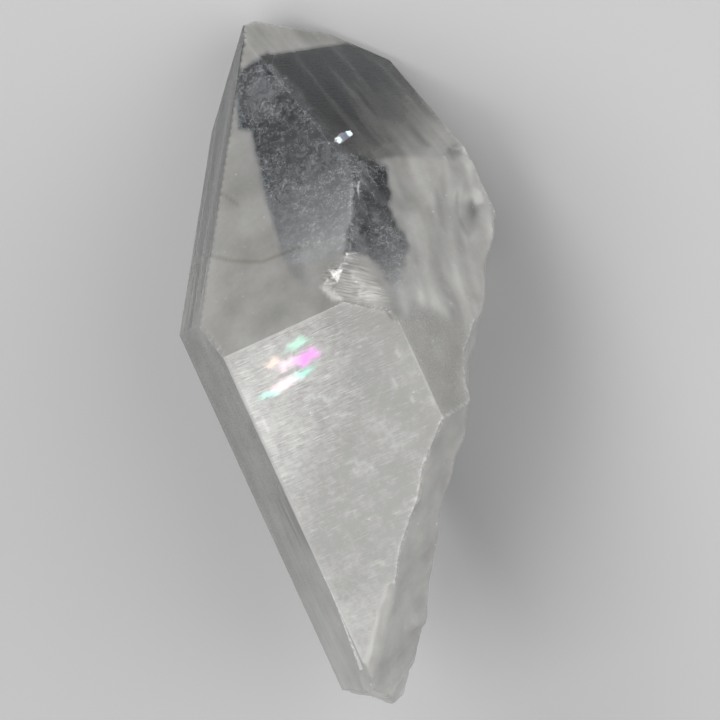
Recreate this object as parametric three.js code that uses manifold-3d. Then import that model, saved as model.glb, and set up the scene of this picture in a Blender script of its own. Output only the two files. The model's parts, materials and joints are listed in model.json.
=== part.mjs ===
// A natural quartz point, lying on one of its long faces.
// Millimetres, +Z up. The crystal's growth axis lies along Y, with the point at the +Y end.
// The crystal is one solid: the flat faces that quartz grows, less the pieces that broke away.

import * as THREE from "three";
import { ConvexGeometry } from "three/addons/geometries/ConvexGeometry.js";
import { ImprovedNoise } from "three/addons/math/ImprovedNoise.js";
import { mergeVertices } from "three/addons/utils/BufferGeometryUtils.js";
import Module from "manifold-3d";

const wasm = await Module();
wasm.setup();

// Quartz has six prism faces along its axis and a point face over each, always at the same
// angles. A point face's normal stands this far off the axis.
const POINT_TILT = THREE.MathUtils.degToRad(51.79);

// Each prism face and the point face over it: which way they look, in degrees round the axis
// from straight up, and how far they lie from the shoulder, the corner where the top face, the
// upper left face and the point meet.
const SIDES = {
  top: { turn: 0, prism: 0, point: 0 },
  upperRight: { turn: 60, prism: 20.7, point: 20.8 },
  lowerRight: { turn: 120, prism: 44.6, point: 52.5 },
  bottom: { turn: 180, prism: 42, point: 53.5 },
  lowerLeft: { turn: 240, prism: 14.8, point: 29.8 },
  upperLeft: { turn: 300, prism: 0, point: 3.3 },
};
const ROOT = 58; // from the shoulder down to where the prism stood on its rock

// Breaks: each is a shallow bowl, as quartz has no cleavage and parts in curved shells.
// "at" is a point on the bowl's floor and "facing" the way the floor looks there, both from the
// shoulder. "curve" is the radius of the floor. "blow" is where the break began: the floor runs
// out from there as far as "reach", in rings of "ribs" height, with "step" between its points.
// A long bowl is drawn out by "stretch" in the direction "along".
const CORNER_BLOW = [22, 1, 0];
const BEVEL_BLOW = [27, -17, -6];
const FLANK_BLOW = [37, 6, -24];
const HOLLOW_BLOW = [26, -10, -44];
const HEEL_BLOW = [20, -14, -46];
const SLANT = [0.12, -0.83, 0.53]; // down the broken shoulder, beside the point's main face
const BREAKS = {
  // The shoulder on the right of the point: a milky bulge, with a clear trough beside it.
  bulge: {
    at: [29.2, 3, -14.1],
    facing: [0.92, 0.08, 0.37],
    curve: 80,
    blow: CORNER_BLOW,
    reach: 44,
    ribs: 0.14,
  },
  trough: {
    at: [23.9, 4.4, -7.8],
    facing: [0.53, 0.46, 0.71],
    curve: 11,
    reach: 9,
    along: [-0.3, -0.76, 0.57],
    stretch: 2,
  },
  upperRim: { at: [27.6, 12.4, -17.3], facing: [0.78, 0.3, 0.55], curve: 22, reach: 12 },
  pit: { at: [32.7, 3.7, -23.8], facing: [0.9, 0.1, 0.42], curve: 4.5, reach: 4, along: SLANT, stretch: 1.5 },
  rimPit: { at: [33.8, 12.3, -26.9], facing: [0.8, 0.3, 0.5], curve: 5, reach: 4 },
  notch: { at: [35.6, 7.2, -27.5], facing: [0.95, 0.1, 0.3], curve: 5, reach: 5 },
  // Chips off the corner where the top face, the point and the shoulder meet.
  cornerChip: { at: [19.3, 2.4, -2.9], facing: [0.3, 0.48, 0.83], curve: 12, reach: 7 },
  ledgeChip: { at: [21.6, 0.3, -1.7], facing: [0.35, 0.3, 0.88], curve: 12, reach: 8 },
  leftChip: { at: [16.4, 3.3, -2.9], facing: [-0.1, 0.5, 0.86], curve: 6, reach: 3 },
  // The long slanting break that took the right flank, with a narrow bevel along its top.
  bevel: {
    at: [14.3, -31.2, -3.6],
    facing: [0.72, -0.61, 0.33],
    curve: 400,
    blow: BEVEL_BLOW,
    reach: 50,
    ribs: 0.12,
  },
  flank: {
    at: [20.4, -22.3, -15.1],
    facing: [0.78, -0.58, -0.25],
    curve: 700,
    blow: FLANK_BLOW,
    reach: 80,
    ribs: 0.2,
    step: 2.2,
  },
  waist: { at: [28.1, -12.7, -9.8], facing: [0.8, -0.55, -0.2], curve: 30, reach: 14 },
  hollow: {
    at: [18.5, -17, -33],
    facing: [0.72, -0.58, -0.38],
    curve: 45,
    blow: HOLLOW_BLOW,
    reach: 34,
    ribs: 0.14,
  },
  // The root end: the heel underneath, the toe on the left and the blunt tip.
  heel: {
    at: [4.9, -33.1, -31.8],
    facing: [0.1, -0.57, -0.82],
    curve: 60,
    blow: HEEL_BLOW,
    reach: 60,
    ribs: 0.2,
    step: 2.2,
  },
  toe: { at: [-3.7, -48.2, -7.2], facing: [-0.58, -0.79, 0.19], curve: 60, reach: 22 },
  tip: { at: [1.2, -49, -8], facing: [0.52, -0.85, -0.06], curve: 90, reach: 22 },
};
const FINE_STEP = 1.25; // between a bowl's points, where the break doesn't give its own
const FEWEST_SPOKES = 14; // of points round a small bowl
const BLOCK = 40; // how far a bowl's cutter stands out past the bowl's rim

// A knob that stayed on the flank when the rest broke off.
const KNOB = { at: [6.2, -41.5, -9], size: [2.3, 2.5, 4] };

// The ribs of a break: their spacing, and the longer run over which they come and go.
const RIB_PITCH = 5;
const RIB_SWELL = 17;

// Unevenness of every broken surface, coarse and fine.
const GRAINS = [
  { size: 9, height: 0.8 },
  { size: 3.2, height: 0.22 },
];

const QUARTZ_COLOUR = 0xd9dbd8;
const MERGE_GAP = 1e-4;
const noise = new ImprovedNoise();

function sidePlanes({ turn, prism, point }) {
  const angle = THREE.MathUtils.degToRad(turn);
  const outward = new THREE.Vector3(Math.sin(angle), 0, Math.cos(angle));
  const slanted = outward.clone().multiplyScalar(Math.sin(POINT_TILT)).setY(Math.cos(POINT_TILT));
  return [new THREE.Plane(outward, -prism), new THREE.Plane(slanted, -point)];
}

function meetingPoint(a, b, c) {
  const bc = b.normal.clone().cross(c.normal);
  const ca = c.normal.clone().cross(a.normal);
  const ab = a.normal.clone().cross(b.normal);
  const size = a.normal.dot(bc);
  const sum = bc.multiplyScalar(-a.constant);
  sum.addScaledVector(ca, -b.constant).addScaledVector(ab, -c.constant);
  return Math.abs(size) > MERGE_GAP ? sum.divideScalar(size) : null;
}

// The corners of the space behind a set of planes: where three meet with no other in front.
function cornersOf(planes) {
  const behindAll = (corner) => planes.every((plane) => plane.distanceToPoint(corner) < MERGE_GAP);
  const corners = [];
  for (let i = 0; i < planes.length; i += 1) {
    for (let j = i + 1; j < planes.length; j += 1) {
      for (let k = j + 1; k < planes.length; k += 1) {
        const corner = meetingPoint(planes[i], planes[j], planes[k]);
        if (corner && behindAll(corner)) corners.push(corner);
      }
    }
  }
  return corners;
}

function grownCrystal() {
  const planes = Object.values(SIDES).flatMap(sidePlanes);
  planes.push(new THREE.Plane(new THREE.Vector3(0, -1, 0), -ROOT));
  return new ConvexGeometry(cornersOf(planes));
}

function ripple(run) {
  const turn = 2 * Math.PI * run;
  return Math.sin(turn / RIB_PITCH) * (0.6 + 0.4 * Math.sin(turn / RIB_SWELL));
}

// The floor of a bowl in section, from the blow outwards, closed off above to make a cutter.
function bowlProfile(curve, reach, ribs, step) {
  const rings = Math.ceil(reach / step);
  const profile = [];
  for (let ring = 0; ring <= rings; ring += 1) {
    const run = (reach * ring) / rings;
    const radius = curve - ribs * ripple(run);
    profile.push(new THREE.Vector2(radius * Math.sin(run / curve), -radius * Math.cos(run / curve)));
  }
  const rim = profile.at(-1);
  profile.push(new THREE.Vector2(rim.x, rim.y + BLOCK), new THREE.Vector2(0, rim.y + BLOCK));
  return profile;
}

function bowl(broken) {
  const { at, facing, curve, reach, blow = at, ribs = 0, step = FINE_STEP } = broken;
  const { along = SLANT, stretch = 1 } = broken;
  const heart = new THREE.Vector3(...facing).setLength(curve).add(new THREE.Vector3(...at));
  const outward = heart.clone().sub(new THREE.Vector3(...blow)).normalize();
  const length = new THREE.Vector3(...along).projectOnPlane(outward).normalize();
  const width = length.clone().cross(outward);
  const spokes = Math.max(FEWEST_SPOKES, Math.round((Math.PI * curve * Math.sin(reach / curve)) / step));
  const geometry = new THREE.LatheGeometry(bowlProfile(curve, reach, ribs, step), spokes);
  geometry.scale(stretch, 1, 1);
  geometry.applyMatrix4(new THREE.Matrix4().makeBasis(length, outward, width).setPosition(heart));
  roughen(geometry, outward);
  return geometry;
}

function knob({ at, size }) {
  const geometry = new THREE.IcosahedronGeometry(1, 1);
  geometry.scale(...size);
  geometry.translate(...at);
  roughen(geometry, new THREE.Vector3(...BREAKS.flank.facing));
  return geometry;
}

function roughen(geometry, outward) {
  const place = geometry.attributes.position;
  const point = new THREE.Vector3();
  for (let i = 0; i < place.count; i += 1) {
    point.fromBufferAttribute(place, i);
    let lift = 0;
    for (const { size, height } of GRAINS) {
      lift += height * noise.noise(point.x / size, point.y / size, point.z / size);
    }
    point.addScaledVector(outward, lift);
    place.setXYZ(i, point.x, point.y, point.z);
  }
}

function toSolid(geometry) {
  geometry.deleteAttribute("normal");
  geometry.deleteAttribute("uv");
  const merged = mergeVertices(geometry, MERGE_GAP);
  const corners = Array.from(merged.index.array);
  const triangles = [];
  for (let i = 0; i < corners.length; i += 3) {
    const triangle = corners.slice(i, i + 3);
    if (new Set(triangle).size === 3) triangles.push(...triangle);
  }
  const vertProperties = Float32Array.from(merged.attributes.position.array);
  const triVerts = Uint32Array.from(triangles);
  return new wasm.Manifold(new wasm.Mesh({ numProp: 3, vertProperties, triVerts }));
}

function toGeometry(solid) {
  const mesh = solid.getMesh();
  const geometry = new THREE.BufferGeometry();
  geometry.setAttribute("position", new THREE.BufferAttribute(mesh.vertProperties, 3));
  geometry.setIndex(new THREE.BufferAttribute(mesh.triVerts, 1));
  geometry.computeVertexNormals();
  geometry.computeBoundingBox();
  return geometry;
}

function quartzPoint() {
  let solid = toSolid(grownCrystal());
  for (const broken of Object.values(BREAKS)) solid = solid.subtract(toSolid(bowl(broken)));
  solid = solid.add(toSolid(knob(KNOB)));
  const quartz = new THREE.MeshStandardMaterial({ color: QUARTZ_COLOUR, roughness: 0.15, metalness: 0 });
  quartz.transparent = true;
  quartz.opacity = 0.75;
  const crystal = new THREE.Mesh(toGeometry(solid), quartz);
  crystal.name = "quartz_point";
  return crystal;
}

// The origin is on the surface that the crystal lies on, under the middle of its box.
const crystal = quartzPoint();
const box = crystal.geometry.boundingBox;
const middle = box.getCenter(new THREE.Vector3());
crystal.position.set(-middle.x, -middle.y, -box.min.z);

const specimen = new THREE.Group();
specimen.add(crystal);

export default specimen;
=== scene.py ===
import json
import math

import bmesh
import bpy
import numpy as np
from mathutils import Matrix, Vector, noise

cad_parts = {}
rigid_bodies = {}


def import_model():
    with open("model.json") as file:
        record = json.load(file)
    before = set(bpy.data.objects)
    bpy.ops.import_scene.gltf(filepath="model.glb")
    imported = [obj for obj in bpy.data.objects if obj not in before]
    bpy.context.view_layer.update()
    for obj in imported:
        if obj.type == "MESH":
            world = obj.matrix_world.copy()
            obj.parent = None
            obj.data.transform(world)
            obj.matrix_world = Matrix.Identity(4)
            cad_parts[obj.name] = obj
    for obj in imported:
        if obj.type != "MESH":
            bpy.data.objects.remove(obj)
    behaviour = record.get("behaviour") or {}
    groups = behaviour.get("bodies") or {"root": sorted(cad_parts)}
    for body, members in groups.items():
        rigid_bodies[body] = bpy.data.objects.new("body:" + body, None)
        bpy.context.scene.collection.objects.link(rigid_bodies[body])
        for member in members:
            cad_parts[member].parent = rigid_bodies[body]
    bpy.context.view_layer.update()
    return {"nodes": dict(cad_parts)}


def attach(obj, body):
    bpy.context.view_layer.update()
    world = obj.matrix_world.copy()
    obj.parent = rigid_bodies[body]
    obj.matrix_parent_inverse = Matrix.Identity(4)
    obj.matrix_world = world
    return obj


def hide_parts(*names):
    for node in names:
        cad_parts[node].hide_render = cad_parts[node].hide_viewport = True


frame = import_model()
scene = bpy.context.scene
mm = 0.001
noise.seed_set(7)    # so that ragged outlines come out the same each run

# Camera, from the photograph's viewing angle
shot = {
    "lens": 227.3,                      # mm on a 36 mm sensor
    "sensor": 36,
    "place": (152.3, 1.3, 618.9),       # mm
    "right": (0.8807, -0.4167, -0.2254),
    "up": (0.4023, 0.9090, -0.1088),
    "nearest": 0.01,                    # m, from which things show
    "photo": 720,                       # pixels a side
}


def cameraAxes(spec):
    right = Vector(spec["right"]).normalized()
    back = right.cross(Vector(spec["up"])).normalized()
    return right, back.cross(right), back


def pointCamera(spec):
    lens = bpy.data.cameras.new("camera")
    lens.lens = spec["lens"]
    lens.sensor_width = spec["sensor"]
    lens.clip_start = spec["nearest"]
    camera = bpy.data.objects.new("camera", lens)
    turn = Matrix(cameraAxes(spec)).transposed().to_4x4()
    camera.matrix_world = Matrix.Translation(Vector(spec["place"]) * mm) @ turn
    scene.collection.objects.link(camera)
    scene.camera = camera


def photoSpots(points, spec):
    # where points in mm show in the photograph, in its pixels
    right, up, back = (np.array(axis) for axis in cameraAxes(spec))
    away = points - np.array(spec["place"])
    depth = -(away @ back)
    zoom = spec["lens"] / spec["sensor"] * spec["photo"]
    half = spec["photo"] / 2
    return np.stack([half + zoom * (away @ right) / depth, half - zoom * (away @ up) / depth], axis=1)


pointCamera(shot)
print("camera set")


# Small sums on arrays of vertices
def smoothStep(low, high, values):
    t = np.clip((values - low) / (high - low), 0, 1)
    return t * t * (3 - 2 * t)


def added(total, marks, weights):
    # a value and each mark by its weight
    for name, weight in weights.items():
        total = total + marks[name] * weight
    return total


def meshArrays(mesh):
    points = np.empty(len(mesh.vertices) * 3)
    mesh.vertices.foreach_get("co", points)
    mesh.calc_loop_triangles()
    corners = np.empty(len(mesh.loop_triangles) * 3, dtype=np.int64)
    mesh.loop_triangles.foreach_get("vertices", corners)
    edges = np.empty(len(mesh.edges) * 2, dtype=np.int64)
    mesh.edges.foreach_get("vertices", edges)
    return points.reshape(-1, 3) / mm, corners.reshape(-1, 3), edges.reshape(-1, 2)


def triangleCross(points, corners):
    a, b, c = (points[corners[:, k]] for k in range(3))
    return np.cross(b - a, c - a)


def unit(vectors):
    return vectors / np.maximum(np.linalg.norm(vectors, axis=1), 1e-12)[:, None]


def vertexNormals(points, corners):
    cross = triangleCross(points, corners)
    total = np.zeros_like(points)
    for k in range(3):
        np.add.at(total, corners[:, k], cross)
    return unit(total)


def neighbourMean(values, edges):
    total = np.zeros_like(values)
    count = np.zeros(len(values))
    for here, there in ((0, 1), (1, 0)):
        np.add.at(total, edges[:, here], values[edges[:, there]])
        np.add.at(count, edges[:, here], 1)
    count = np.maximum(count, 1)
    return total / (count[:, None] if values.ndim > 1 else count)


def insideOutline(spots, outline, soft):
    # 1 well inside a closed outline, 0 well outside, over a soft rim
    inside = np.zeros(len(spots), dtype=bool)
    nearest = np.full(len(spots), np.inf)
    x, y = spots[:, 0], spots[:, 1]
    for (x0, y0), (x1, y1) in zip(outline, outline[1:] + outline[:1]):
        run = np.array((x1 - x0, y1 - y0), dtype=float)
        along = np.clip(((x - x0) * run[0] + (y - y0) * run[1]) / (run @ run), 0, 1)
        nearest = np.minimum(nearest, np.hypot(x - x0 - along * run[0], y - y0 - along * run[1]))
        if y0 != y1:
            inside ^= ((y0 > y) != (y1 > y)) & (x < x0 + (y - y0) * run[0] / run[1])
    return smoothStep(-soft, soft, np.where(inside, nearest, -nearest))


def streak(spots, centre, length, width, rise, soft=(0.25, 1.2)):
    # 1 on a short streak, which rises to the right by some degrees and fades over part of its size
    turn = math.radians(rise)
    across, down = spots[:, 0] - centre[0], spots[:, 1] - centre[1]
    along = across * math.cos(turn) - down * math.sin(turn)
    aside = across * math.sin(turn) + down * math.cos(turn)
    return 1 - smoothStep(*soft, np.hypot(2 * along / length, 2 * aside / width))


def fade(spots, ends, values, bend=1.0):
    # from one value at a pixel to another at a second pixel
    (x0, y0), (x1, y1) = ends
    run = np.array((x1 - x0, y1 - y0), dtype=float)
    along = np.clip((spots - np.array((x0, y0))) @ run / (run @ run), 0, 1)
    return values[0] + (values[1] - values[0]) * along ** bend


def nearLine(spots, line, width):
    # 1 on a line of pixels, 0 from its width away
    nearest = np.full(len(spots), np.inf)
    for start, end in zip(line, line[1:]):
        run = np.subtract(end, start).astype(float)
        away = spots - np.array(start)
        along = np.clip(away @ run / (run @ run), 0, 1)
        nearest = np.minimum(nearest, np.linalg.norm(away - along[:, None] * run, axis=1))
    return 1 - smoothStep(0, width, nearest)


def nearLines(spots, lines, width):
    return np.max([nearLine(spots, line, width) for line in lines], axis=0)


def cloudOn(points, size, octaves, run=None, length=1.0):
    # soft noise about 0.5 on vertices, drawn out in one direction if that is given
    if run is not None:
        run = np.array(run) / np.linalg.norm(run)
        points = points - (1 - size / length) * (points @ run)[:, None] * run
    weakening, gap = 1.0, 2.0    # from one octave to the next
    return np.array([0.5 + 0.5 * noise.fractal(Vector(p) / size, weakening, gap, octaves) for p in points])


def wavering(spots, size):
    # noise in pixels, which makes an outline ragged
    return np.array([noise.noise_vector(Vector((x, y, 0)) / size) for x, y in spots])[:, :2]


# Crystal body: a quartz point grows six sides and six end faces at fixed angles
habit = {
    "sides": 6,
    "pointTilt": 51.79,    # degrees from the long axis to an end face's normal
    "sameFace": 0.9995,    # how well a facet has to agree with a growth face
}
# Numbers of some growth faces: the sides come first, from the upper one round, and then the end faces
growthFaces = {"top": 0, "leftSide": 5, "rightEnd": 7, "leftEnd": 11}
skin = {
    "node": "quartz_point",
    "cell": 0.40,          # mm between vertices
    "pull": 0.5,           # how far a round of smoothing draws a vertex to its neighbours
    "relax": 2,            # rounds of smoothing before the growth faces are drawn flat
    "even": 4,             # rounds after, which keep each vertex in its faces
    "snap": 0.28,          # mm within which a vertex belongs to a growth face
    "settle": 6,           # rounds that draw a vertex into all of its faces
    "crease": 28,          # degrees, past which an edge is sharp
    "rimRounds": 3,        # rounds that soften the rims of the breaks
    "chatter": 0.05,       # mm of fine relief on the breaks
    "chatterSize": 2.2,    # mm
    "flute": 0.16,         # mm of long hollows down the breaks
    "fluteWidth": 3.0,     # mm
    "fluteLength": 15.0,   # mm
    "seamWidth": 11,       # pixels over which a soft seam is rounded
    "seamRounds": 16,
    "seamFacing": 0.1,     # how far up the skin looks where a seam may be
}
# Where a break runs out softly into a grown face, in the photograph's pixels
softSeams = {
    "overBulge": [(372, 162), (392, 154), (420, 157), (447, 163), (470, 168)],
    "besideBulge": [(400, 309), (410, 283), (432, 299), (474, 318)],
    "tipSide": [(393, 596), (384, 630), (371, 680)],
}
# Directions that the crystal's patterns run in
patterns = {
    "growth": (0, 1, 0),
    "across": (1, 0, 0),
    "leftEdge": (0.337, 0.741, -0.583),
    "rightEdge": (0.337, -0.741, 0.583),
    "flutes": (0.12, -0.83, 0.53),
    "chip": (0.78, -0.64, -0.20),
}


def growthNormals(spec):
    tilt = math.radians(spec["pointTilt"])
    turns = [math.radians(360 / spec["sides"] * k) for k in range(spec["sides"])]
    sides = [(math.sin(t), 0, math.cos(t)) for t in turns]
    ends = [(n[0] * math.sin(tilt), math.cos(tilt), n[2] * math.sin(tilt)) for n in sides]
    return np.array(sides + ends)


def growthPlanes(points, corners, spec):
    # each growth face's plane, read off the facets of the solid that lie in it
    cross = triangleCross(points, corners)
    facing, area = unit(cross), np.linalg.norm(cross, axis=1)
    middle = points[corners].sum(axis=1) / 3
    planes = []
    for normal in growthNormals(spec):
        member = facing @ normal > spec["sameFace"]
        planes.append((normal, np.average(middle[member] @ normal, weights=area[member])))
    return planes


def mergedCopy(name):
    # the solid's own mesh is loose triangles
    mesh = frame["nodes"][name].data.copy()
    shape = bmesh.new()
    shape.from_mesh(mesh)
    bmesh.ops.remove_doubles(shape, verts=shape.verts, dist=1e-6)
    shape.to_mesh(mesh)
    shape.free()
    return mesh


def evenMesh(mesh, cell):
    piece = bpy.data.objects.new("even", mesh)
    scene.collection.objects.link(piece)
    remesh = piece.modifiers.new("even", "REMESH")
    remesh.mode = "VOXEL"
    remesh.voxel_size = cell * mm
    graph = bpy.context.evaluated_depsgraph_get()
    even = bpy.data.meshes.new_from_object(piece.evaluated_get(graph))
    bpy.data.objects.remove(piece)
    return even


def settle(points, planes, members, rounds):
    # draws each vertex into the growth faces that it belongs to, and so into their edges
    for _ in range(rounds):
        for (normal, offset), member in zip(planes, members):
            points[member] -= (points[member] @ normal - offset)[:, None] * normal
    return points


def smoothing(points, edges, pull):
    return pull * (neighbourMean(points, edges) - points)


def breakRelief(points, spec):
    chatter = cloudOn(points, spec["chatterSize"], octaves=3) - 0.5
    flute = cloudOn(points, spec["fluteWidth"], octaves=1, run=patterns["flutes"],
                    length=spec["fluteLength"]) - 0.5
    return 2 * (chatter * spec["chatter"] + flute * spec["flute"])


def growPoints(mesh, planes, spec):
    points, corners, edges = meshArrays(mesh)
    for _ in range(spec["relax"]):
        points += smoothing(points, edges, spec["pull"])
    spots = photoSpots(points, shot)
    upper = vertexNormals(points, corners)[:, 2] > spec["seamFacing"]
    seam = upper & (nearLines(spots, softSeams.values(), spec["seamWidth"]) > 0)
    members = [~seam & (np.abs(points @ normal - offset) < spec["snap"]) for normal, offset in planes]
    points = settle(points, planes, members, spec["settle"])
    for _ in range(spec["seamRounds"]):
        points[seam] += smoothing(points, edges, spec["pull"])[seam]
    for _ in range(spec["even"]):
        points += smoothing(points, edges, spec["pull"])
        points = settle(points, planes, members, spec["settle"])
    rough = 1 - np.max(members, axis=0).astype(float)
    for _ in range(spec["rimRounds"]):
        rough = neighbourMean(rough, edges)
    normals = vertexNormals(points, corners)
    points += (rough * breakRelief(points, spec))[:, None] * normals
    return points, corners, edges, members, rough


# How milky the crystal is, over outlines and lines in the photograph's pixels
milkiness = {
    "usual": 0.66,
    "under": 0.12,                   # part of the milk that is left underneath
    "underFacing": (-0.95, -0.3),    # how far up the skin looks, from least milk to all of it
    "bend": 2.2,                     # how late the milk comes from one end of a window to the other
    "laceFrom": 1.2,                 # milk from which there are no veils
    "laceFacing": (0.1, 0.3),        # how far up the skin looks, from no veils to all of them
    "ragSize": 11,                   # pixels, size of the bends in a ragged outline
}
clearWindows = {
    # milk goes from the first value at one pixel to the second at the other; ragged is in pixels
    "mainFace": {
        "outline": [(237, 72), (267, 53), (299, 91), (338, 139), (357, 166), (366, 183), (358, 215),
                    (352, 250), (300, 268), (284, 262), (268, 206), (257, 160), (251, 131), (238, 128)],
        "soft": 3, "ends": ((255, 100), (345, 235)), "milk": (0.08, 0.60), "lace": 1.0, "ragged": 1.5,
    },
    "upperVeil": {
        "outline": [(240, 84), (262, 70), (276, 88), (284, 116), (266, 124), (245, 114)],
        "soft": 10, "ends": ((255, 90), (275, 120)), "milk": (0.24, 0.14), "lace": 1.0, "ragged": 8,
    },
    "lowerPatch": {
        "outline": [(283, 253), (297, 252), (305, 264), (312, 284), (303, 288), (290, 271)],
        "soft": 5, "ends": ((290, 255), (308, 286)), "milk": (0.50, 0.58), "lace": 0.3, "ragged": 4,
    },
    "rightFace": {
        "outline": [(260, 56), (346, 43), (385, 52), (420, 80), (472, 160), (394, 157), (372, 162),
                    (346, 158), (332, 142), (293, 94)],
        "soft": 3, "ends": ((335, 82), (430, 150)), "milk": (0.00, 0.60), "lace": 0.0, "ragged": 0,
    },
    "besideTrough": {
        "outline": [(388, 165), (402, 185), (412, 230), (414, 280), (414, 318), (396, 316), (392, 290),
                    (398, 250), (388, 205)],
        "soft": 8, "ends": ((400, 180), (405, 310)), "milk": (0.56, 0.50), "lace": 0.2, "ragged": 4,
    },
    "trough": {
        "outline": [(356, 183), (346, 151), (372, 158), (386, 166), (390, 190), (390, 208), (398, 226),
                    (408, 246), (404, 270), (397, 296), (384, 278), (368, 252), (344, 252)],
        "soft": 4, "ends": ((368, 182), (399, 285)), "milk": (0.08, 0.54), "lace": 0.9, "ragged": 5,
    },
    "ledge": {
        "outline": [(344, 254), (353, 221), (370, 252), (366, 256), (356, 253)],
        "soft": 3, "ends": ((350, 230), (370, 262)), "milk": (0.24, 0.35), "lace": 0.6, "ragged": 0,
    },
    "pit": {
        "outline": [(463, 205), (470, 200), (477, 212), (476, 230), (469, 236), (463, 222)],
        "soft": 5, "ends": ((470, 205), (470, 235)), "milk": (0.34, 0.50), "lace": 0.0, "ragged": 3,
    },
    "rimPit": {
        "outline": [(447, 146), (456, 144), (460, 153), (452, 158), (446, 154)],
        "soft": 4, "ends": ((452, 146), (452, 158)), "milk": (0.34, 0.45), "lace": 0.0, "ragged": 3,
    },
    "cornerChip": {
        "outline": [(346, 255), (357, 254), (372, 276), (389, 301), (346, 302), (326, 292), (321, 274),
                    (335, 263)],
        "soft": 3, "ends": ((352, 260), (360, 292)), "milk": (0.62, 0.86), "lace": 0.0, "ragged": 3,
    },
}
darkSides = {
    # the narrow faces down the left: ends in pixels, milk there
    "leftSide": (((195, 340), (350, 660)), (0.50, 0.62)),
    "leftEnd": (((240, 60), (190, 320)), (0.06, 0.42)),
}
# Small marks on the skin, in the photograph's pixels
paleChip = [(319, 286), (327, 286), (342, 299), (333, 301)]
scratches = [
    [(393, 511), (405, 506)], [(397, 514), (424, 499)], [(404, 503), (418, 497)], [(408, 509), (421, 504)],
    [(305, 398), (311, 395), (316, 399), (321, 396), (327, 401), (331, 398)],
    [(347, 463), (354, 459), (359, 466), (366, 462), (372, 468)], [(352, 470), (360, 473), (368, 470)],
    [(396, 345), (399, 356)], [(392, 378), (396, 388)], [(410, 397), (415, 403)], [(428, 396), (434, 403)],
    [(371, 566), (378, 562), (385, 564)], [(262, 420), (268, 432)], [(271, 441), (277, 453)],
]
healedCracks = {
    "long": [(204, 254), (232, 261), (262, 262), (300, 247)],
    "short": [(221, 193), (238, 205)],
}
softness = {"paleChip": 2, "cornerChip": 6, "scratches": 3, "healedCracks": 3}    # pixels
# A film of colours on the upper face
colourFilm = {
    "rise": 27,       # degrees
    "ragged": 4,      # pixels
    "ragSize": 7,     # pixels
    "streaks": {
        # name: centre, length and width in pixels of the photograph, and colour
        "magenta": ((307, 357), 34, 16, (0.90, 0.36, 0.86)),
        "rose": ((288, 363), 30, 14, (0.95, 0.76, 0.82)),
        "peach": ((273, 362), 20, 10, (0.95, 0.74, 0.64)),
        "upperGreen": ((297, 344), 36, 10, (0.52, 0.80, 0.66)),
        "lowerGreen": ((304, 373), 30, 10, (0.42, 0.82, 0.68)),
        "coral": ((285, 384), 44, 13, (0.96, 0.78, 0.83)),
        "mint": ((269, 395), 28, 10, (0.50, 0.88, 0.76)),
    },
}
# Broad places in the photograph's pixels
places = {
    "upperFacing": (0.2, 0.4),                       # how far up the skin looks where marks are
    "paintedSheen": ((255, 420), (350, 450)),               # a painted sheen: the upper face is painted brightest at the first pixel
    "hatching": ((275, 400), (385, 470)),            # and its hatching is strongest at the first pixel
    "hatchingShare": (0.95, 0.42),
    "paintedDarkStrip": [(228, 358), (345, 303), (400, 312)],    # a strip under the end faces painted darker, which cuts back the painted sheen
    "paintedDarkStripWidth": 48,
    "tipRows": (560, 640),                           # where the thin tip begins
    "fluteRows": (320, 380),                         # where the break's flutes grow weak
    "rimColumns": (440, 470),                        # painted glow on the outer rim of the break
    "rimRows": (250, 300),
    "paintedSideGlow": ((411, 582), 60, 34, 60),            # painted glow on the lower right of the break; it and the threads are streaks: centre, length, width, rise in degrees
    "threads": ((292, 516), 90, 30, -68),
}
# Noise on the skin: size in mm, octaves and, where it is drawn out, the way it runs and length in mm
grains = {
    "fog": {"size": 6, "octaves": 4},
    "flutes": {"size": 2.8, "octaves": 2, "run": patterns["flutes"], "length": 16},
    "streaks": {"size": 1.7, "octaves": 3, "run": patterns["rightEdge"], "length": 14},
    "bands": {"size": 1.8, "octaves": 2, "run": patterns["leftEdge"], "length": 40},
    "growth": {"size": 1.4, "octaves": 3, "run": patterns["growth"], "length": 22},
    "threads": {"size": 1.0, "octaves": 2, "run": patterns["growth"], "length": 12},
    "wisps": {"size": 4.5, "octaves": 2},
}
# Values of that noise between which a mark comes out
grainSteps = {"bands": (0.25, 0.75), "growth": (0.25, 0.65), "threads": (0.5, 0.7), "wisps": (0.38, 0.62)}
# What each mark adds to the share of milk, to how pale that is and to how dark
weights = {
    "share": {"flutes": 0.3, "streaks": 0.30, "bands": 0.25, "paleChip": 0.3, "scratches": 0.12,
              "healedCracks": -0.08, "film": 0.3},
    # the paleness carries painted light: a sheen, a strip that takes it back, and glows on the break
    "pale": {"fog": 0.5, "flutes": 0.6, "roughBody": 0.28, "paintedSheen": 1.0, "topBody": -0.26, "tip": 0.36,
             "topTip": -0.30, "paintedDarkStrip": -0.5, "paintedSideGlow": 0.3, "paintedRimGlow": 0.25, "paleChip": 0.4,
             "scratches": 0.3},
    "shade": {"darkBands": 0.65, "growthLines": 0.12, "threads": 0.5},
}
toning = {
    "usualPale": 0.30,
    "fogInMilk": 0.15,
    "fluteLoss": 0.7,         # how weak the flutes grow
    "bandDepth": 0.7,
    "streakMiddle": 0.48,     # noise at which a streak is neither clear nor milky
    "thinnestWisp": 0.35,
    "bulge": (0.02, 0.12),    # mm by which a vertex stands out where wear and a painted edge highlight begin, and where both are full
    "chipWearAndLight": 0.8,          # wear and painted edge highlight that the chipped corner and the tip lack
    "tipWearAndLight": 0.7,
    "tipHatching": 0.6,       # hatching that the tip lacks
}


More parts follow.
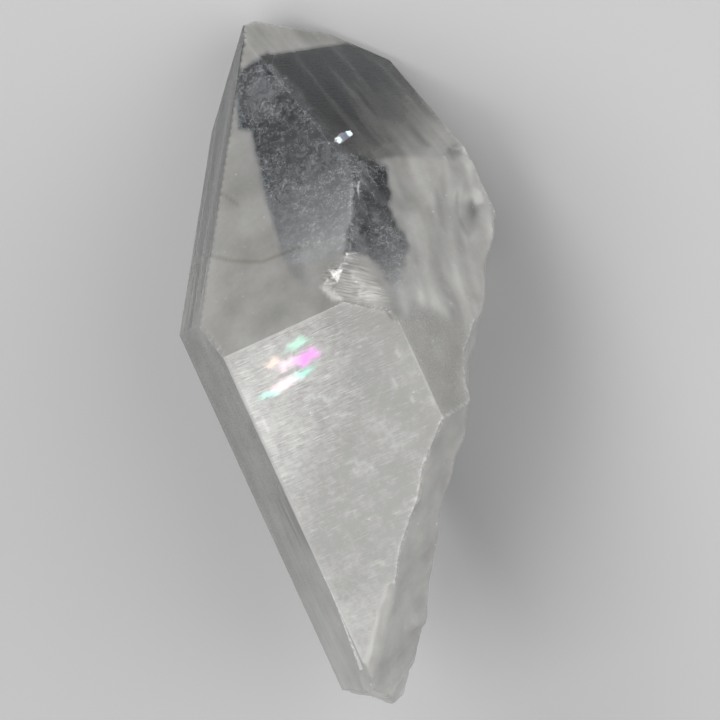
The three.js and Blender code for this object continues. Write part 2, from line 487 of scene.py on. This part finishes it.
def milkMarks(spots, normals, members, spec):
    milk = np.full(len(spots), spec["usual"])
    lace = np.zeros(len(spots))
    wobble = wavering(spots, spec["ragSize"])
    for name, (ends, values) in darkSides.items():
        milk = np.where(members[growthFaces[name]], fade(spots, ends, values), milk)
    for window in clearWindows.values():
        share = insideOutline(spots + window["ragged"] * wobble, window["outline"], window["soft"])
        inside = fade(spots, window["ends"], window["milk"], spec["bend"])
        milk += share * (inside - milk)
        lace = np.maximum(lace, share * np.clip(spec["laceFrom"] - inside, 0, 1) * window["lace"])
    milk *= spec["under"] + (1 - spec["under"]) * smoothStep(*spec["underFacing"], normals[:, 2])
    return milk, lace * smoothStep(*spec["laceFacing"], normals[:, 2])


def filmMarks(spots, top, spec):
    film = np.zeros((len(spots), 4))
    spots = spots + spec["ragged"] * wavering(spots, spec["ragSize"])
    for centre, length, width, colour in spec["streaks"].values():
        share = streak(spots, centre, length, width, spec["rise"]) * top
        film[:, :3] += share[:, None] * np.array(colour)
        film[:, 3] += share
    film[:, :3] /= np.maximum(film[:, 3:], 1e-4)
    film[:, 3] = np.clip(film[:, 3], 0, 1)
    return film


def placeMarks(spots, upper, face, rough):
    columns, rows = spots[:, 0], spots[:, 1]
    corner = clearWindows["cornerChip"]["outline"]
    tip = upper * smoothStep(*places["tipRows"], rows)
    rim = smoothStep(*places["rimColumns"], columns) * (1 - smoothStep(*places["rimRows"], rows))
    return {
        "tip": tip,
        "topTip": tip * face["top"],
        "topBody": (1 - tip) * face["top"],
        "roughBody": (1 - tip) * rough,
        # painted sheen: the upper face painted paler, most at its left
        "paintedSheen": (1 - tip) * face["top"] * fade(spots, places["paintedSheen"], (1, 0)),
        # painted darker strip under the end faces, against the painted sheen
        "paintedDarkStrip": face["top"] * nearLine(spots, places["paintedDarkStrip"], places["paintedDarkStripWidth"]),
        # painted glow on the lower right side and on the outer rim of the break
        "paintedSideGlow": rough * upper * streak(spots, *places["paintedSideGlow"]),
        "paintedRimGlow": rough * upper * rim,
        "paleChip": upper * insideOutline(spots, paleChip, softness["paleChip"]),
        "chipped": upper * insideOutline(spots, corner, softness["cornerChip"]),
        "scratches": face["top"] * nearLines(spots, scratches, softness["scratches"]),
        "healedCracks": upper * nearLines(spots, healedCracks.values(), softness["healedCracks"]),
    }


def grainMarks(points, spots, upper, face, rough):
    cloud = {name: cloudOn(points, **grain) for name, grain in grains.items()}
    shown = {name: smoothStep(*steps, cloud[name]) for name, steps in grainSteps.items()}
    fluted = rough * upper * (1 - toning["fluteLoss"] * smoothStep(*places["fluteRows"], spots[:, 1]))
    return {
        "fog": cloud["fog"] - 0.5,
        "flutes": fluted * (cloud["flutes"] - 0.5),
        "streaks": face["rightEnd"] * (cloud["streaks"] - toning["streakMiddle"]),
        "bands": face["leftEnd"] * (shown["bands"] - 0.5),
        "darkBands": face["leftEnd"] * (1 - toning["bandDepth"] * shown["bands"]),
        "growthLines": face["leftSide"] * (1 - shown["growth"]),
        "threads": shown["threads"] * face["leftSide"] * streak(spots, *places["threads"]),
        "wisps": toning["thinnestWisp"] + (1 - toning["thinnestWisp"]) * shown["wisps"],
    }


def crystalMarks(points, corners, edges, members, rough):
    normals = vertexNormals(points, corners)
    spots = photoSpots(points, shot)
    upper = smoothStep(*places["upperFacing"], normals[:, 2])
    alone = np.sum(members, axis=0) == 1
    face = {name: (members[k] & alone).astype(float) for name, k in growthFaces.items()}
    film = filmMarks(spots, face["top"], colourFilm)
    milk, lace = milkMarks(spots, normals, members, milkiness)
    marks = placeMarks(spots, upper, face, rough)
    marks.update(grainMarks(points, spots, upper, face, rough))
    marks["film"] = film[:, 3]
    bulge = -np.einsum("ij,ij->i", neighbourMean(points, edges) - points, normals)
    # wear and a painted highlight along the convex edges
    wear = neighbourMean(smoothStep(*toning["bulge"], bulge), edges)
    wear = wear * (1 - toning["chipWearAndLight"] * marks["chipped"]) * (1 - toning["tipWearAndLight"] * marks["tip"])
    hatching = fade(spots, places["hatching"], places["hatchingShare"])
    hatching = hatching * (1 - toning["tipHatching"] * marks["tip"])
    sides = np.max(members[:habit["sides"]], axis=0) & alone
    return {
        "share": added(milk * (1 + marks["fog"] * toning["fogInMilk"]), marks, weights["share"]),
        "pale": added(toning["usualPale"], marks, weights["pale"]),
        "shade": added(0, marks, weights["shade"]),
        "crack": marks["healedCracks"],
        "lace": lace,
        "wisps": lace * marks["wisps"],
        "wear": wear,
        "top": face["top"],
        "sides": np.where(sides, hatching, 0),
        "chipped": marks["chipped"],
        "photoSpot": np.column_stack([spots, np.ones(len(spots)), upper]),
        "rough": rough,
        "film": film,
    }


def crystalBody(spec):
    solid = mergedCopy(spec["node"])
    planes = growthPlanes(*meshArrays(solid)[:2], habit)
    mesh = evenMesh(solid, spec["cell"])
    points, corners, edges, members, rough = growPoints(mesh, planes, spec)
    mesh.vertices.foreach_set("co", (points * mm).ravel())
    mesh.update()
    mesh.shade_smooth()
    mesh.set_sharp_from_angle(angle=math.radians(spec["crease"]))
    for name, values in crystalMarks(points, corners, edges, members, rough).items():
        colour = values.ndim > 1
        layer = mesh.attributes.new(name, "FLOAT_COLOR" if colour else "FLOAT", "POINT")
        layer.data.foreach_set("color" if colour else "value", values.astype(np.float32).ravel())
    piece = bpy.data.objects.new("quartzBody", mesh)
    scene.collection.objects.link(piece)
    print("crystal body:", len(mesh.vertices), "vertices")
    return piece


body = crystalBody(skin)


# Shader sums as plain expressions
class Wire:
    def __init__(self, bench, socket):
        self.bench = bench
        self.socket = socket

    def math(self, operation, first, second):
        return self.bench.make("ShaderNodeMath", {"operation": operation}, {0: first, 1: second})

    def __add__(self, other):
        return self.math("ADD", self, other)

    def __radd__(self, other):
        return self.math("ADD", other, self)

    def __sub__(self, other):
        return self.math("SUBTRACT", self, other)

    def __rsub__(self, other):
        return self.math("SUBTRACT", other, self)

    def __mul__(self, other):
        return self.math("MULTIPLY", self, other)

    def __rmul__(self, other):
        return self.math("MULTIPLY", other, self)

    def __truediv__(self, other):
        return self.math("DIVIDE", self, other)

    def __rtruediv__(self, other):
        return self.math("DIVIDE", other, self)

    def least(self, other):
        return self.math("MINIMUM", self, other)


class Bench:
    # makes nodes in one material
    def __init__(self, name):
        self.material = bpy.data.materials.new(name)
        self.material.use_nodes = True
        self.tree = self.material.node_tree
        self.tree.nodes.clear()
        self.output = self.tree.nodes.new("ShaderNodeOutputMaterial")

    def make(self, kind, settings=None, sockets=None, output=0):
        node = self.tree.nodes.new(kind)
        for name, value in (settings or {}).items():
            if name == "stops":
                for k, (place, colour) in enumerate(value):
                    stop = node.color_ramp.elements[k] if k < 2 else node.color_ramp.elements.new(place)
                    stop.position = place
                    stop.color = colour
            else:
                setattr(node, name, value)
        for name, value in (sockets or {}).items():
            if isinstance(value, Wire):
                self.tree.links.new(value.socket, node.inputs[name])
            else:
                node.inputs[name].default_value = value
        return Wire(self, node.outputs[output])

    def finish(self, surface, volume=None):
        self.tree.links.new(surface.socket, self.output.inputs["Surface"])
        if volume:
            self.tree.links.new(volume.socket, self.output.inputs["Volume"])
        return self.material

    def mark(self, name, output="Fac"):
        return self.make("ShaderNodeAttribute", {"attribute_name": name}, {}, output)

    def objectMm(self):
        place = self.make("ShaderNodeTexCoord", {}, {}, "Object")
        return self.make("ShaderNodeVectorMath", {"operation": "SCALE"}, {0: place, "Scale": 1 / mm})

    def stretched(self, place, direction, length, width):
        # coordinates for a pattern that is long in one direction, in mm
        turn = Vector(direction).to_track_quat("X", "Z").to_euler()
        sockets = {"Vector": place, "Rotation": turn, "Scale": (length, width, width)}
        return self.make("ShaderNodeMapping", {"vector_type": "TEXTURE"}, sockets)

    def cloud(self, place, scale, detail, roughness, output=0):
        sockets = {"Vector": place, "Scale": scale, "Detail": detail, "Roughness": roughness}
        return self.make("ShaderNodeTexNoise", {}, sockets, output)

    def ease(self, value, low, high):
        settings = {"interpolation_type": "SMOOTHSTEP"}
        return self.make("ShaderNodeMapRange", settings, {"Value": value, "From Min": low, "From Max": high})

    def blend(self, share, first, second):
        settings = {"data_type": "RGBA", "clamp_factor": True}
        return self.make("ShaderNodeMix", settings, {0: share, 6: first, 7: second}, 2)

    def limit(self, value, low=0.0, high=1.0):
        return self.make("ShaderNodeClamp", {}, {"Value": value, "Min": low, "Max": high})


# Finish of the crystal: clear quartz, with milk in it and veils, hatching and wear on it, and painted light
# on its milk: a sheen, glows, glints and edge highlights
finish = {
    "ior": 1.544,
    "clearTint": (0.97, 0.975, 0.98, 1),
    "milkTint": (0.357, 0.350, 0.329, 1),
    "milkPale": (0.797, 0.785, 0.763, 1),
    "paleReach": 0.62,             # how fast the milk turns pale
    "mostMilk": 0.95,
    "veilTint": (0.44, 0.46, 0.485, 1),
    "shadeTint": (0.13, 0.13, 0.125, 1),
    # pale of the worn edges, which is also a painted edge highlight
    "wornAndLitEdge": (0.80, 0.80, 0.79, 1),
    "crackTint": (0.30, 0.26, 0.20, 1),
    # colour of the painted glints on tiny facets and edges
    "paintedGlint": (0.78, 0.78, 0.76, 1),
    "cover": {"veilTint": 0.7, "wornAndLitEdge": 0.6, "crackTint": 0.35},
    "smoke": (0.485, 0.51, 0.54, 1),
    "smokeDensity": 110,           # per metre
    "milkDepth": 3.5 * mm,         # how far light wanders in the milk
    "roughness": {"clear": 0.04, "milk": 0.16, "grit": 0.10, "limits": (0.02, 0.6), "cloudy": 0.06},
    "relief": {"strength": 0.6, "depth": 0.11 * mm, "grit": 0.05, "breaks": 0.07},
}
# Its fine grain: scale per mm, detail and roughness of a noise, drawn out along a run, in mm
fineGrain = {
    "hatch": {"noise": (1.0, 2.0, 0.7), "run": (patterns["across"], 2.8, 0.19)},
    "fibres": {"noise": (1.0, 2.0, 0.5), "run": (patterns["chip"], 4.0, 0.30)},
    "grit": {"noise": (1.6, 2.0, 0.65)},
    "frost": {"noise": (0.9, 4.0, 0.75)},
}
# Values of a grain between which a mark comes out
fineSteps = {
    "dashes": ("hatch", 0.60, 0.70),
    "specks": ("grit", 0.72, 0.78),
    "chafingAndLight": ("grit", 0.42, 0.60),
    "sparkle": ("grit", 0.25, 0.65),
    "patches": ("frost", 0.40, 0.60),
}
filmSteps = (0.28, 0.46)
hatchMiddle = 0.47    # hatch that is neither pale nor dull
# Threads round the cells of a foam, thin or thick by patches
foam = {
    "scale": 1.15,           # cells per mm
    "warp": (2.0, 0.5),      # detail and roughness
    "warpReach": 2.2,        # cells
    "thread": 0.09,
    "thin": 0.15,
    "thick": 1.3,
}
# Painted glints: tiny facets and edges painted pale as if they caught the light, each clockwise in the
# photograph's pixels
glintFacets = {
    "triangle": [(328, 269.5), (342.5, 269.5), (337.5, 283)],
    "rim": [(345.5, 252.6), (358.5, 252.8), (346.5, 255)],
    "topNick": [(355.5, 185), (359.5, 181), (359, 197)],
    "lowerEdge": [(334.5, 600), (363, 669), (360, 670.5)],
}
facetRim = 0.7    # pixels either way over which a facet ends
# What each fine mark adds to the share of milk and to how pale it is
fineWeights = {
    "share": {"veils": 0.27, "frost": 0.45, "fibres": 0.5, "chafedAndLit": 0.30, "specks": 0.3, "paintedGlint": 0.4},
    "pale": {"grit": 0.27, "specks": 0.5, "topFrost": 1.6, "hatch": 2.0, "dashes": 0.6, "fibres": 1.4},
}


def foamThreads(bench, place, spec):
    # fine threads round the cells of a warped foam
    warp = bench.cloud(place, spec["scale"], *spec["warp"], "Color")
    reach = spec["warpReach"] / spec["scale"]
    warp = bench.make("ShaderNodeVectorMath", {"operation": "SCALE"}, {0: warp, "Scale": reach})
    moved = bench.make("ShaderNodeVectorMath", {"operation": "ADD"}, {0: place, 1: warp})
    edge = bench.make("ShaderNodeTexVoronoi", {"feature": "DISTANCE_TO_EDGE"}, {
        "Vector": moved, "Scale": spec["scale"]})
    return bench.ease(edge, spec["thread"], 0.0)


def insideFacets(bench, facets):
    # 1 inside small convex outlines, with crisp edges
    spot = bench.mark("photoSpot", "Vector")
    inside = []
    for outline in facets.values():
        depths = []
        for (x0, y0), (x1, y1) in zip(outline, outline[1:] + outline[:1]):
            length = math.hypot(x1 - x0, y1 - y0)
            across, down = (y0 - y1) / length, (x1 - x0) / length
            line = (across, down, -across * x0 - down * y0)
            depths.append(bench.make("ShaderNodeVectorMath", {"operation": "DOT_PRODUCT"}, {
                0: spot, 1: line}, "Value"))
        depth = depths[0]
        for other in depths[1:]:
            depth = depth.least(other)
        inside.append(bench.ease(depth, -facetRim, facetRim))
    return sum(inside[1:], inside[0]) * bench.mark("photoSpot", "Alpha")


def quartzGrain(bench, place):
    grain = {}
    for name, spec in fineGrain.items():
        drawn = bench.stretched(place, *spec["run"]) if "run" in spec else place
        grain[name] = bench.cloud(drawn, *spec["noise"])
    for name, (source, low, high) in fineSteps.items():
        grain[name] = bench.ease(grain[source], low, high)
    return grain


def fineMarks(bench, place, grain):
    sides, frost = bench.mark("sides"), grain["frost"] - 0.5
    foamed = foamThreads(bench, place, foam) * (foam["thin"] + foam["thick"] * grain["patches"])
    return {
        "veils": bench.mark("wisps") * foamed,
        "frost": bench.mark("lace") * frost,
        "topFrost": bench.mark("top") * frost,
        "fibres": bench.mark("chipped") * (grain["fibres"] - 0.5),
        # worn edges: partly real wear, partly painted highlight
        "chafedAndLit": bench.mark("wear") * grain["chafingAndLight"],
        "specks": grain["specks"],
        "grit": grain["grit"] - 0.5,
        "hatch": sides * (grain["hatch"] - hatchMiddle),
        "dashes": sides * grain["dashes"],
        # painted glints on tiny facets and edges
        "paintedGlint": insideFacets(bench, glintFacets) * grain["sparkle"],
    }


def milkColour(bench, grain, marks, spec):
    pale = added(bench.mark("pale"), marks, fineWeights["pale"])
    broken = bench.ease(grain["grit"] * 0.5 + grain["hatch"] * 0.5, *filmSteps)
    cover = spec["cover"]
    layers = [
        (bench.mark("lace") * cover["veilTint"], spec["veilTint"]),
        (bench.mark("shade"), spec["shadeTint"]),
        (marks["chafedAndLit"] * cover["wornAndLitEdge"], spec["wornAndLitEdge"]),
        (bench.mark("crack") * cover["crackTint"], spec["crackTint"]),
        (bench.mark("film", "Alpha") * broken, bench.mark("film", "Color")),
        (marks["paintedGlint"], spec["paintedGlint"]),
    ]
    tint = bench.blend(bench.limit(pale * spec["paleReach"]), spec["milkTint"], spec["milkPale"])
    for share, colour in layers:
        tint = bench.blend(share, tint, colour)
    return tint


def quartzFinish(spec):
    bench = Bench("quartz")
    place = bench.objectMm()
    grain = quartzGrain(bench, place)
    marks = fineMarks(bench, place, grain)
    share = bench.limit(added(bench.mark("share"), marks, fineWeights["share"]), 0.0, spec["mostMilk"])
    relief, roughness = spec["relief"], spec["roughness"]
    gritHeight = relief["grit"] + bench.mark("rough") * relief["breaks"]
    height = bench.mark("sides") * grain["hatch"] + grain["grit"] * gritHeight
    bump = bench.make("ShaderNodeBump", {}, {
        "Strength": relief["strength"], "Distance": relief["depth"], "Height": height})
    gloss = roughness["clear"] + share * roughness["milk"] + marks["grit"] * roughness["grit"]
    gloss = bench.limit(gloss, *roughness["limits"])
    glass = bench.make("ShaderNodeBsdfPrincipled", {}, {
        "Base Color": spec["clearTint"], "Roughness": gloss, "IOR": spec["ior"],
        "Transmission Weight": 1.0, "Normal": bump})
    cloudy = bench.make("ShaderNodeBsdfPrincipled", {}, {
        "Base Color": milkColour(bench, grain, marks, spec), "Roughness": gloss + roughness["cloudy"],
        "IOR": spec["ior"], "Normal": bump, "Subsurface Weight": 1.0,
        "Subsurface Radius": (1.0, 1.0, 1.0), "Subsurface Scale": spec["milkDepth"]})
    surface = bench.make("ShaderNodeMixShader", {}, {0: share, 1: glass, 2: cloudy})
    inside = bench.make("ShaderNodeVolumeAbsorption", {}, {
        "Color": spec["smoke"], "Density": spec["smokeDensity"]})
    return bench.finish(surface, inside)


body.data.materials.clear()
body.data.materials.append(quartzFinish(finish))
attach(body, "root")
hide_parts(skin["node"])
print("quartz finished")


# Veils: tiny flakes at rest inside the clear places, scattered under the crystal's skin
veil = {
    "Flakes": 14.0e6,        # per square metre, where the veil is thickest
    "Shallow": 0.25 * mm,    # depth under the skin
    "Deep": 2.4 * mm,
    "Smallest": 0.03 * mm,
    "Largest": 0.11 * mm,
    "Seed": 7,
}
flake = {
    "segments": 5,
    "rings": 2,
    "proportions": (1.0, 0.7, 0.2),
    "turn": 6.28,            # radians, at most
    "turnSeed": 3,
    "sizeSeed": 5,
    "colour": (0.86, 0.87, 0.88, 1),
    "roughness": 0.45,
    "ior": 1.6,
}


class Tree:
    # makes nodes in one Geometry Nodes tree
    def __init__(self, name):
        self.group = bpy.data.node_groups.new(name, "GeometryNodeTree")

    def entry(self, name, kind):
        return self.group.interface.new_socket(name, in_out="INPUT", socket_type=kind).identifier

    def make(self, kind, settings=None, sockets=None):
        node = self.group.nodes.new(kind)
        for name, value in (settings or {}).items():
            setattr(node, name, value)
        for name, value in (sockets or {}).items():
            if isinstance(value, bpy.types.NodeSocket):
                self.group.links.new(value, node.inputs[name])
            else:
                node.inputs[name].default_value = value
        return node.outputs


def veilTree(material, spec):
    tree = Tree("veilFlakes")
    tree.entry("Skin", "NodeSocketGeometry")
    names = {}
    for name in veil:
        names[name] = tree.entry(name, "NodeSocketInt" if name == "Seed" else "NodeSocketFloat")
    tree.group.interface.new_socket("Flakes", in_out="OUTPUT", socket_type="NodeSocketGeometry")
    given = tree.make("NodeGroupInput")
    thick = tree.make("GeometryNodeInputNamedAttribute", {"data_type": "FLOAT"}, {"Name": "wisps"})[0]
    number = tree.make("ShaderNodeMath", {"operation": "MULTIPLY"}, {0: thick, 1: given["Flakes"]})[0]
    spread = tree.make("GeometryNodeDistributePointsOnFaces", {"distribute_method": "RANDOM"}, {
        "Mesh": given["Skin"], "Density": number, "Seed": given["Seed"]})
    depth = tree.make("FunctionNodeRandomValue", {"data_type": "FLOAT"}, {
        2: given["Shallow"], 3: given["Deep"], "Seed": given["Seed"]})[1]
    down = tree.make("ShaderNodeMath", {"operation": "MULTIPLY"}, {0: depth, 1: -1.0})[0]
    offset = tree.make("ShaderNodeVectorMath", {"operation": "SCALE"}, {
        0: spread["Normal"], "Scale": down})[0]
    sunk = tree.make("GeometryNodeSetPosition", {}, {"Geometry": spread["Points"], "Offset": offset})[0]
    ball = tree.make("GeometryNodeMeshUVSphere", {}, {
        "Segments": spec["segments"], "Rings": spec["rings"], "Radius": 1.0})["Mesh"]
    flat = tree.make("GeometryNodeTransform", {}, {"Geometry": ball, "Scale": spec["proportions"]})[0]
    turn = tree.make("FunctionNodeRandomValue", {"data_type": "FLOAT_VECTOR"}, {
        0: (0.0, 0.0, 0.0), 1: (spec["turn"],) * 3, "Seed": spec["turnSeed"]})[0]
    size = tree.make("FunctionNodeRandomValue", {"data_type": "FLOAT"}, {
        2: given["Smallest"], 3: given["Largest"], "Seed": spec["sizeSeed"]})[1]
    strewn = tree.make("GeometryNodeInstanceOnPoints", {}, {
        "Points": sunk, "Instance": flat, "Rotation": turn, "Scale": size})[0]
    real = tree.make("GeometryNodeRealizeInstances", {}, {"Geometry": strewn})[0]
    done = tree.make("GeometryNodeSetMaterial", {}, {"Geometry": real, "Material": material})[0]
    tree.make("NodeGroupOutput", {}, {"Flakes": done})
    return tree.group, names


def veilFinish(spec):
    bench = Bench("veil")
    return bench.finish(bench.make("ShaderNodeBsdfPrincipled", {}, {
        "Base Color": spec["colour"], "Roughness": spec["roughness"], "IOR": spec["ior"]}))


def veilFlakes(skinPiece):
    carrier = bpy.data.objects.new("veilSkin", skinPiece.data.copy())
    scene.collection.objects.link(carrier)
    group, names = veilTree(veilFinish(flake), flake)
    scatter = carrier.modifiers.new("veil", "NODES")
    scatter.node_group = group
    for name, identifier in names.items():
        scatter[identifier] = veil[name]
    graph = bpy.context.evaluated_depsgraph_get()
    mesh = bpy.data.meshes.new_from_object(carrier.evaluated_get(graph))
    bpy.data.objects.remove(carrier)
    piece = bpy.data.objects.new("veilFlakes", mesh)
    scene.collection.objects.link(piece)
    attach(piece, "root")
    print("veil flakes:", len(mesh.polygons), "faces")


veilFlakes(body)


# A small open crack inside the point, which flashes in colours
innerCrack = {
    "middle": (8.48, 25.99, 22.17),       # mm
    "facing": (0.664, 0.217, 0.716),
    "run": (0.661, 0.276, -0.697),
    "half": (1.8, 0.75, 0.04),            # mm along, across and through
    "segments": 48,
    "rings": 16,
    "waver": 0.30,                        # of its half sizes
    "waverPitch": (3.1, 2.3),
    "waverSlice": 5,
    # colours along the crack: pale cyan and mauve of its own, with its glints painted in as bright ends and
    # darker bands between them
    "stops": [
        (0.0, (0.80, 0.78, 0.80, 1)), (0.10, (0.25, 0.27, 0.27, 1)), (0.17, (0.80, 0.95, 0.95, 1)),
        (0.30, (0.70, 0.85, 0.86, 1)), (0.42, (0.11, 0.15, 0.17, 1)), (0.72, (0.07, 0.09, 0.12, 1)),
        (0.84, (0.66, 0.90, 0.95, 1)), (1.0, (0.75, 0.92, 0.95, 1)),
    ],
    "stopWaver": 0.12,                    # how far the colours waver and lean
    "stopLean": 0.10,
    "rimAcross": (0.35, 0.85),            # of its half sizes, where the dim rims begin
    "rimAlong": (0.45, 0.75),
    "rimTint": (0.22, 0.15, 0.20, 1),
    "roughness": 0.28,
}


def crackMarks(ball, ragged, spec):
    along, across = ball[:, 0], ball[:, 1]
    rim = smoothStep(*spec["rimAcross"], np.abs(across)) * (1 - smoothStep(*spec["rimAlong"], np.abs(along)))
    return {
        "along": (along + 1) / 2 + spec["stopWaver"] * ragged - spec["stopLean"] * across,
        "rim": rim,
    }


def crackFinish(spec):
    bench = Bench("innerCrack")
    colour = bench.make("ShaderNodeValToRGB", {"stops": spec["stops"]}, {0: bench.mark("along")})
    colour = bench.blend(bench.mark("rim"), colour, spec["rimTint"])
    return bench.finish(bench.make("ShaderNodeBsdfPrincipled", {}, {
        "Base Color": colour, "Metallic": 1.0, "Roughness": spec["roughness"]}))


def crackInside(spec):
    shape = bmesh.new()
    bmesh.ops.create_uvsphere(shape, u_segments=spec["segments"], v_segments=spec["rings"], radius=1.0)
    facing = Vector(spec["facing"]).normalized()
    run = Vector(spec["run"])
    run = (run - facing * run.dot(facing)).normalized()
    turn = Matrix((run, facing.cross(run), facing)).transposed()
    ball = np.array([vertex.co for vertex in shape.verts])
    pitchX, pitchY = spec["waverPitch"]
    ragged = np.array([noise.noise(Vector((x * pitchX, y * pitchY, spec["waverSlice"]))) for x, y, z in ball])
    for vertex, waver in zip(shape.verts, ragged):
        swell = 1 + spec["waver"] * waver
        local = Vector([c * half for c, half in zip(vertex.co, spec["half"])])
        local = Vector((local.x * swell, local.y * swell, local.z))
        vertex.co = (turn @ local + Vector(spec["middle"])) * mm
    mesh = bpy.data.meshes.new("innerCrack")
    shape.to_mesh(mesh)
    shape.free()
    mesh.shade_smooth()
    for name, values in crackMarks(ball, ragged, spec).items():
        mesh.attributes.new(name, "FLOAT", "POINT").data.foreach_set("value", values.astype(np.float32))
    mesh.materials.append(crackFinish(spec))
    piece = bpy.data.objects.new("innerCrack", mesh)
    scene.collection.objects.link(piece)
    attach(piece, "root")
    print("inner crack set")


crackInside(innerCrack)


# Floor and studio light
studio = {
    "floorSize": 4.0,           # m
    "floorDrop": 0.05,          # mm under the crystal
    "floorColour": (0.45, 0.45, 0.445, 1),
    "floorRoughness": 0.85,
    "sky": (0.95, 0.97, 1.0, 1),
    "skyStrength": 0.26,
    "aim": (0, 0, 20),          # mm, where the lamps point
    "lamps": {
        # name: place in mm, side in mm, watts
        "key": ((-330, -60, 740), 560, 3.2),
        "fill": ((520, -120, 430), 600, 2.8),
        "back": ((-80, 560, 470), 420, 1.8),
    },
    "exposure": 0.2,
    "bounces": 18,              # light crosses the clear quartz many times
}


def paleFloor(spec):
    half = spec["floorSize"] / 2
    level = -spec["floorDrop"] * mm
    rim = [(x, y, level) for x, y in ((-half, -half), (half, -half), (half, half), (-half, half))]
    mesh = bpy.data.meshes.new("floor")
    mesh.from_pydata(rim, [], [(0, 1, 2, 3)])
    floor = bpy.data.objects.new("floor", mesh)
    scene.collection.objects.link(floor)
    bench = Bench("floorPaint")
    mesh.materials.append(bench.finish(bench.make("ShaderNodeBsdfPrincipled", {}, {
        "Base Color": spec["floorColour"], "Roughness": spec["floorRoughness"]})))


def studioLight(spec):
    world = bpy.data.worlds.new("studio")
    world.use_nodes = True
    sky = world.node_tree.nodes["Background"]
    sky.inputs["Color"].default_value = spec["sky"]
    sky.inputs["Strength"].default_value = spec["skyStrength"]
    scene.world = world
    for name, (place, side, watts) in spec["lamps"].items():
        lamp = bpy.data.lights.new(name, "AREA")
        lamp.size = side * mm
        lamp.energy = watts
        holder = bpy.data.objects.new(name, lamp)
        holder.location = Vector(place) * mm
        aim = Vector(spec["aim"]) * mm - holder.location
        holder.rotation_euler = aim.to_track_quat("-Z", "Y").to_euler()
        scene.collection.objects.link(holder)


paleFloor(studio)
studioLight(studio)
scene.view_settings.view_transform = "Standard"
scene.view_settings.exposure = studio["exposure"]
scene.cycles.max_bounces = studio["bounces"]
scene.cycles.transmission_bounces = studio["bounces"]
scene.cycles.use_denoising = True
print("studio set")
